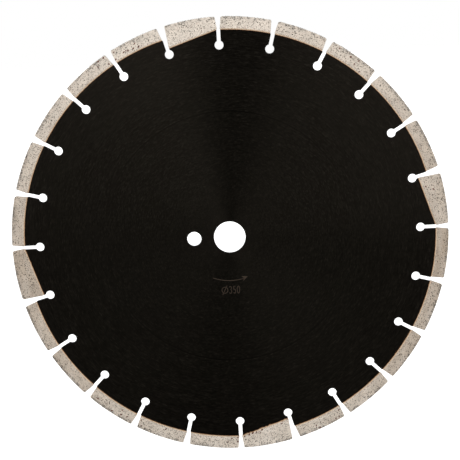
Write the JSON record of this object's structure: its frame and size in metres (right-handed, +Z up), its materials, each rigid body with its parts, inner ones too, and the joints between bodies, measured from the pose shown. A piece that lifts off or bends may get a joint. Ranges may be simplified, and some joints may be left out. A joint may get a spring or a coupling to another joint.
{
  "type": "diamond blade",
  "caption": "Laser welded diamond saw blade: black slotted steel core with bore and drive pin hole, ringed by flat sintered segments and deeper wedge segments that guard the core.",
  "frame": {"origin": "centre of the bore at half the core's thickness", "axes": "blade stands upright; +Y along the spin axis, away from the front face; +Z up through a slot; the drive pin hole is on the -X side, seen from the front (looking along +Y) it is to the left of the bore"},
  "size_m": [0.35, 0.0032, 0.35],
  "materials": {
    "core_paint": "satin black paint over a circular ground steel disc, fine concentric grain",
    "diamond_layer": "matt warm grey sintered metal with embedded diamond grit and fine grinding streaks",
    "foot": "matt tan-grey sintered metal without grit",
    "weld": "brown heat-tinted laser weld bead"
  },
  "bodies": {
    "root": {"core": "core_paint", "weld_seams": "weld", "segment_01": "diamond_layer", "segment_02": "diamond_layer", "segment_03": "diamond_layer", "segment_04": "diamond_layer", "segment_05": "diamond_layer", "deep_segment_06": "diamond_layer", "segment_07": "diamond_layer", "segment_08": "diamond_layer", "segment_09": "diamond_layer", "segment_10": "diamond_layer", "segment_11": "diamond_layer", "deep_segment_12": "diamond_layer", "segment_13": "diamond_layer", "segment_14": "diamond_layer", "segment_15": "diamond_layer", "segment_16": "diamond_layer", "segment_17": "diamond_layer", "deep_segment_18": "diamond_layer", "segment_19": "diamond_layer", "segment_20": "diamond_layer", "segment_21": "diamond_layer", "segment_22": "diamond_layer", "segment_23": "diamond_layer", "deep_segment_24": "diamond_layer", "segment_foot_01": "foot", "segment_foot_02": "foot", "segment_foot_03": "foot", "segment_foot_04": "foot", "segment_foot_05": "foot", "deep_segment_foot_06": "foot", "segment_foot_07": "foot", "segment_foot_08": "foot", "segment_foot_09": "foot", "segment_foot_10": "foot", "segment_foot_11": "foot", "deep_segment_foot_12": "foot", "segment_foot_13": "foot", "segment_foot_14": "foot", "segment_foot_15": "foot", "segment_foot_16": "foot", "segment_foot_17": "foot", "deep_segment_foot_18": "foot", "segment_foot_19": "foot", "segment_foot_20": "foot", "segment_foot_21": "foot", "segment_foot_22": "foot", "segment_foot_23": "foot", "deep_segment_foot_24": "foot"}
  },
  "joints": []
}
